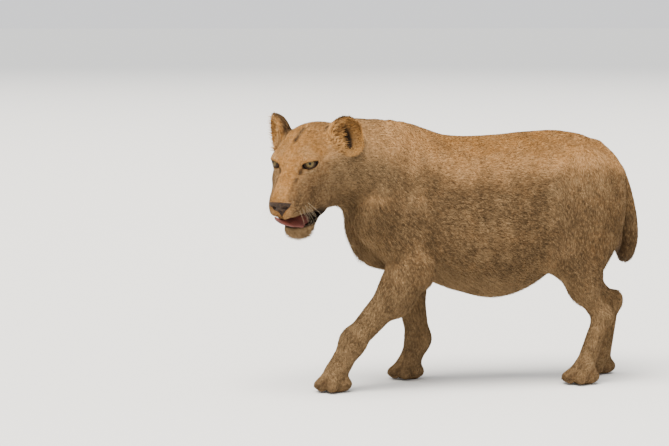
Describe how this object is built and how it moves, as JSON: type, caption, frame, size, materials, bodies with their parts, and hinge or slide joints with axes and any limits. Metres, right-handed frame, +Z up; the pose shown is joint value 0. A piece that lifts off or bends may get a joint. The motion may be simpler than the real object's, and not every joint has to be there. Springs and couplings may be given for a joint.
{
  "type": "lioness",
  "caption": "Life-size still model of a lioness in mid-stride, head turned to her left and lowered, mouth a little open with the tongue curled up to the lip.",
  "frame": {"origin": "middle of the bounding box on the floor", "axes": "she walks towards -X, her left side is towards -Y, +Z is up"},
  "size_m": [1.3114, 0.6856, 0.848],
  "materials": {
    "coat": "short sandy fur lying back along the body, golden above, greyer on the flanks, pale below",
    "nose_leather": "dark damp pebbled skin",
    "tongue": "pink, damp and rough",
    "eye": "clear wet surface over an amber iris"
  },
  "bodies": {
    "root": {"head": "coat", "jaw": "coat", "ear_left": "coat", "ear_right": "coat", "neck": "coat", "trunk": "coat", "tail_base": "coat", "tail_middle": "coat", "tail_tip": "coat", "foreleg_left_upper": "coat", "foreleg_left_lower": "coat", "foreleg_left_paw": "coat", "foreleg_right_upper": "coat", "foreleg_right_lower": "coat", "foreleg_right_paw": "coat", "hindleg_left_upper": "coat", "hindleg_left_lower": "coat", "hindleg_left_paw": "coat", "hindleg_right_upper": "coat", "hindleg_right_lower": "coat", "hindleg_right_paw": "coat", "nose": "nose_leather", "tongue": "tongue", "eye_left": "eye", "eye_right": "eye"}
  },
  "joints": []
}
